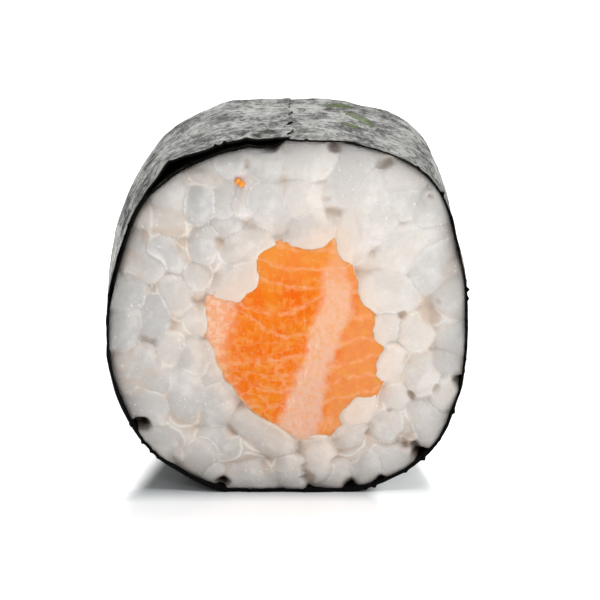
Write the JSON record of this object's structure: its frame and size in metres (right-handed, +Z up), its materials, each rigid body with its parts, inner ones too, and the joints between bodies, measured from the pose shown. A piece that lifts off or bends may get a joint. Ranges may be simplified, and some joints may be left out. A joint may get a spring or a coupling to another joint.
{
  "type": "salmon hosomaki",
  "caption": "Thin sushi roll piece lying on its side, cut flat at both ends, with seaweed wrapped round white rice and a salmon core.",
  "frame": {"origin": "on the ground, under the middle of the roll's box", "axes": "+Z up; Y along the roll, with the shown cut end towards -Y; X across the cut end, to the right as one looks at it"},
  "size_m": [0.0314, 0.027, 0.0303],
  "materials": {
    "nori": "dried seaweed sheet, black-green, softly shining, finely crumpled",
    "rice": "moist cooked short-grain rice, milky and slightly translucent",
    "salmon": "raw salmon, orange with paler bands, moist"
  },
  "bodies": {
    "root": {"nori": "nori", "rice": "rice", "salmon": "salmon"}
  },
  "joints": []
}
